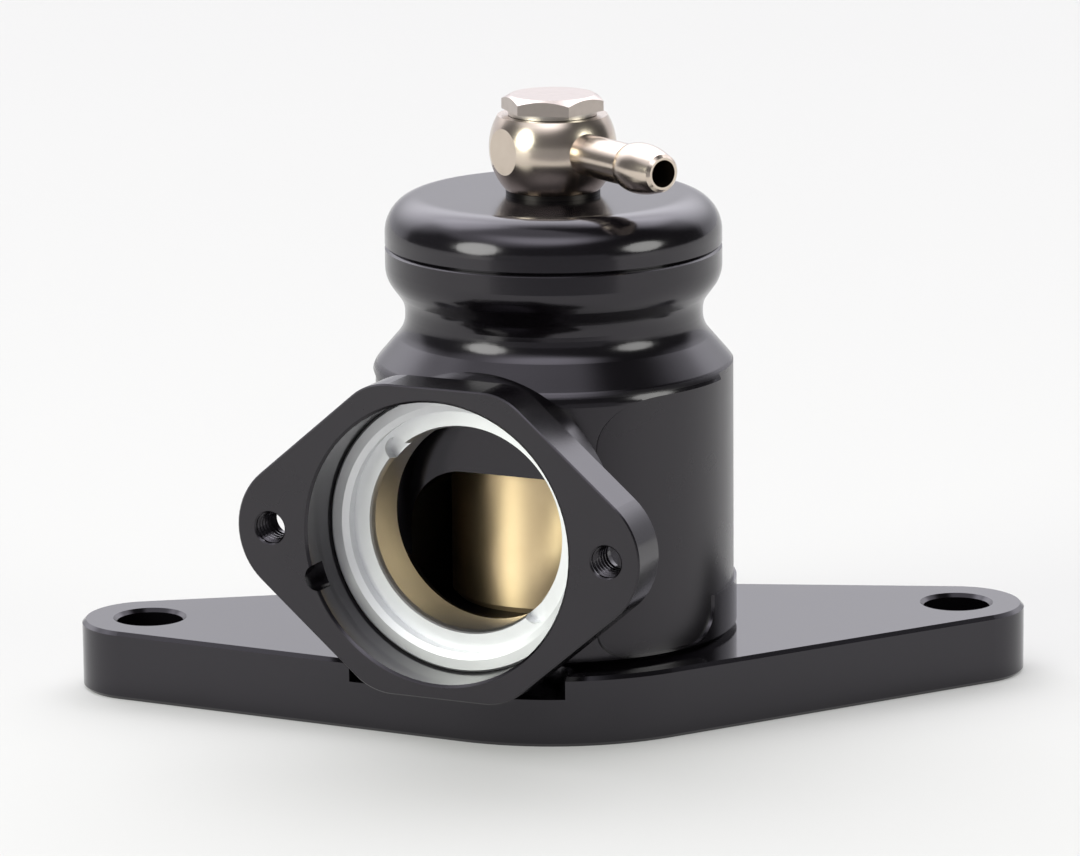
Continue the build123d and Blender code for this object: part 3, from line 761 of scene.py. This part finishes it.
# %% One patch of light
def lit_patch(tree, place, centre, half_size, softness, radiance, light_below):
    """Adds an oval patch to the light below it. Its edge fades over a share of its size."""
    offset = add_node(
        tree, "ShaderNodeVectorMath", {0: place, 1: (*centre, 0.0)}, operation="SUBTRACT"
    )
    share = add_node(
        tree, "ShaderNodeVectorMath",
        {0: offset.outputs["Vector"], 1: (*half_size, 1.0)}, operation="DIVIDE",
    )
    reach = add_node(
        tree, "ShaderNodeVectorMath", {0: share.outputs["Vector"]}, operation="LENGTH"
    )
    glow = add_node(
        tree, "ShaderNodeMapRange",
        {
            "Value": reach.outputs["Value"],
            "From Min": 1.0 + softness,
            "From Max": 1.0 - softness,
            "To Min": 0.0,
            "To Max": radiance,
        },
        interpolation_type="SMOOTHSTEP",
    )
    total = add_node(
        tree, "ShaderNodeMath", {0: glow.outputs["Result"], 1: light_below}, operation="ADD"
    )
    return total.outputs["Value"]


print("a patch fades over its softness, as a share of its half size")

# %% Hang the patches
ROOM_COLOUR = "#F9F8FF"
ROOM_DARK = 0.08
# Each row is a name, where it counts, its centre and half size in degrees, softness, radiance.
PATCHES = (
    ("wall behind", mirrored_room, (180.0, 12.0), (58.0, 55.0), 0.12, 0.78),
    ("slope behind", mirrored_room, (160.0, 46.0), (44.0, 26.0), 0.6, 2.6),
    ("slope at the sides", mirrored_room, (130.0, 57.0), (28.0, 13.0), 0.5, 1.6),
    ("faint glow at the left", whole_room, (-60.0, 20.0), (90.0, 40.0), 0.4, 0.08),
    ("ceiling", whole_room, (-46.0, 66.0), (88.0, 34.0), 0.2, 0.9),
    ("front of the ceiling", whole_room, (-12.0, 52.5), (46.0, 10.0), 0.7, 2.1),
)
light = ROOM_DARK
for title, place, centre, half_size, softness, radiance in PATCHES:
    light = lit_patch(tree, place, centre, half_size, softness, radiance, light)
    print(title, "is centred on", centre, "degrees")
backdrop = add_node(
    tree, "ShaderNodeBackground", {"Color": linear(ROOM_COLOUR), "Strength": light}
)
output = add_node(tree, "ShaderNodeOutputWorld")
tree.links.new(backdrop.outputs["Background"], output.inputs["Surface"])

# %% [markdown]
# Two soft boxes
#
# Two soft boxes stand low in front, left and right of the camera. They give the pairs of
# bright marks on the rim of the cap and on the shoulder of the body, and they light the brass
# through the port.

# %% Stand the soft boxes
BOX_COLOUR = "#FBFFF4"
BOX_DISTANCE = 1.2
BOXES_AIM_AT = Vector((0.0, 0.0, 0.04))


def soft_box(name, azimuth_deg, height_deg, width, height, radiance):
    """An area light that faces the valve, placed in the same degrees as the room."""
    turn = math.radians(azimuth_deg)
    rise = math.radians(height_deg)
    towards = Vector((
        math.sin(turn) * math.cos(rise),
        -math.cos(turn) * math.cos(rise),
        math.sin(rise),
    ))
    data = bpy.data.lights.new(name, "AREA")
    data.shape = "ELLIPSE"
    data.size = width
    data.size_y = height
    data.color = linear(BOX_COLOUR)[:3]
    # A flat lamp shines with a radiance of its power divided by pi and by its area.
    data.energy = radiance * math.pi * (math.pi / 4.0 * width * height)
    lamp = bpy.data.objects.new(name, data)
    bpy.context.scene.collection.objects.link(lamp)
    lamp.rotation_euler = towards.to_track_quat("Z", "Y").to_euler()
    lamp.location = BOXES_AIM_AT + towards * BOX_DISTANCE
    return lamp


left_box = soft_box(
    "soft_box_left", azimuth_deg=-57.0, height_deg=17.5, width=0.66, height=0.68, radiance=6.8
)
right_box = soft_box(
    "soft_box_right", azimuth_deg=62.0, height_deg=15.5, width=0.64, height=0.50, radiance=5.2
)
for lamp in (left_box, right_box):
    print(lamp.name, round(lamp.data.energy, 1), "W")

# %% [markdown]
# A flag under the lens
#
# The front of the cap, the collar and the waist mirror the table far in front of the valve,
# and in the photograph they are much darker than the sides. Photographers get that with a
# flag, which is a dull grey board that keeps light off. This one slopes up from the table.
# It is hidden from the camera and casts no shadow, so only the glossy metal shows it. The
# fibre of the card is drawn 8 mm wide, because a finer one is lost in the blurred mirror.

# %% Lay the flag
FLAG_CORNERS = (
    (-0.24, -0.235, 0.0), (0.20, -0.235, 0.0),
    (0.40, -0.62, 0.14), (-0.50, -0.62, 0.14),
)
FIBRE_MM = 8.0

grey_board, tree, shader = new_finish("card_matt_grey")
place = add_node(tree, "ShaderNodeTexCoord").outputs["Object"]
fibre = add_node(
    tree, "ShaderNodeTexNoise", {"Vector": place, "Scale": per_metre(FIBRE_MM), "Detail": 3.0}
)
shade = add_node(
    tree, "ShaderNodeMix",
    {0: fibre.outputs["Fac"], 6: linear("#7C7C7C"), 7: linear("#747474")}, data_type="RGBA",
)
tree.links.new(shade.outputs[2], shader.inputs["Base Color"])
shader.inputs["Roughness"].default_value = 0.9

flag_data = bpy.data.meshes.new("studio_flag")
flag_data.from_pydata(FLAG_CORNERS, [], [(0, 1, 2, 3)])
flag = bpy.data.objects.new("studio_flag", flag_data)
bpy.context.scene.collection.objects.link(flag)
flag.data.materials.append(grey_board)
flag.visible_camera = False
flag.visible_diffuse = False
flag.visible_shadow = False
print("flag laid in front, rising to", FLAG_CORNERS[2][2], "m")

# %% [markdown]
# Show the tones as they are
#
# A film-like view transform greys the whites. The plain one shows a white table as white.

# %% Choose the view transform and finish
bpy.context.scene.view_settings.view_transform = "Standard"
bpy.context.scene.view_settings.look = "None"
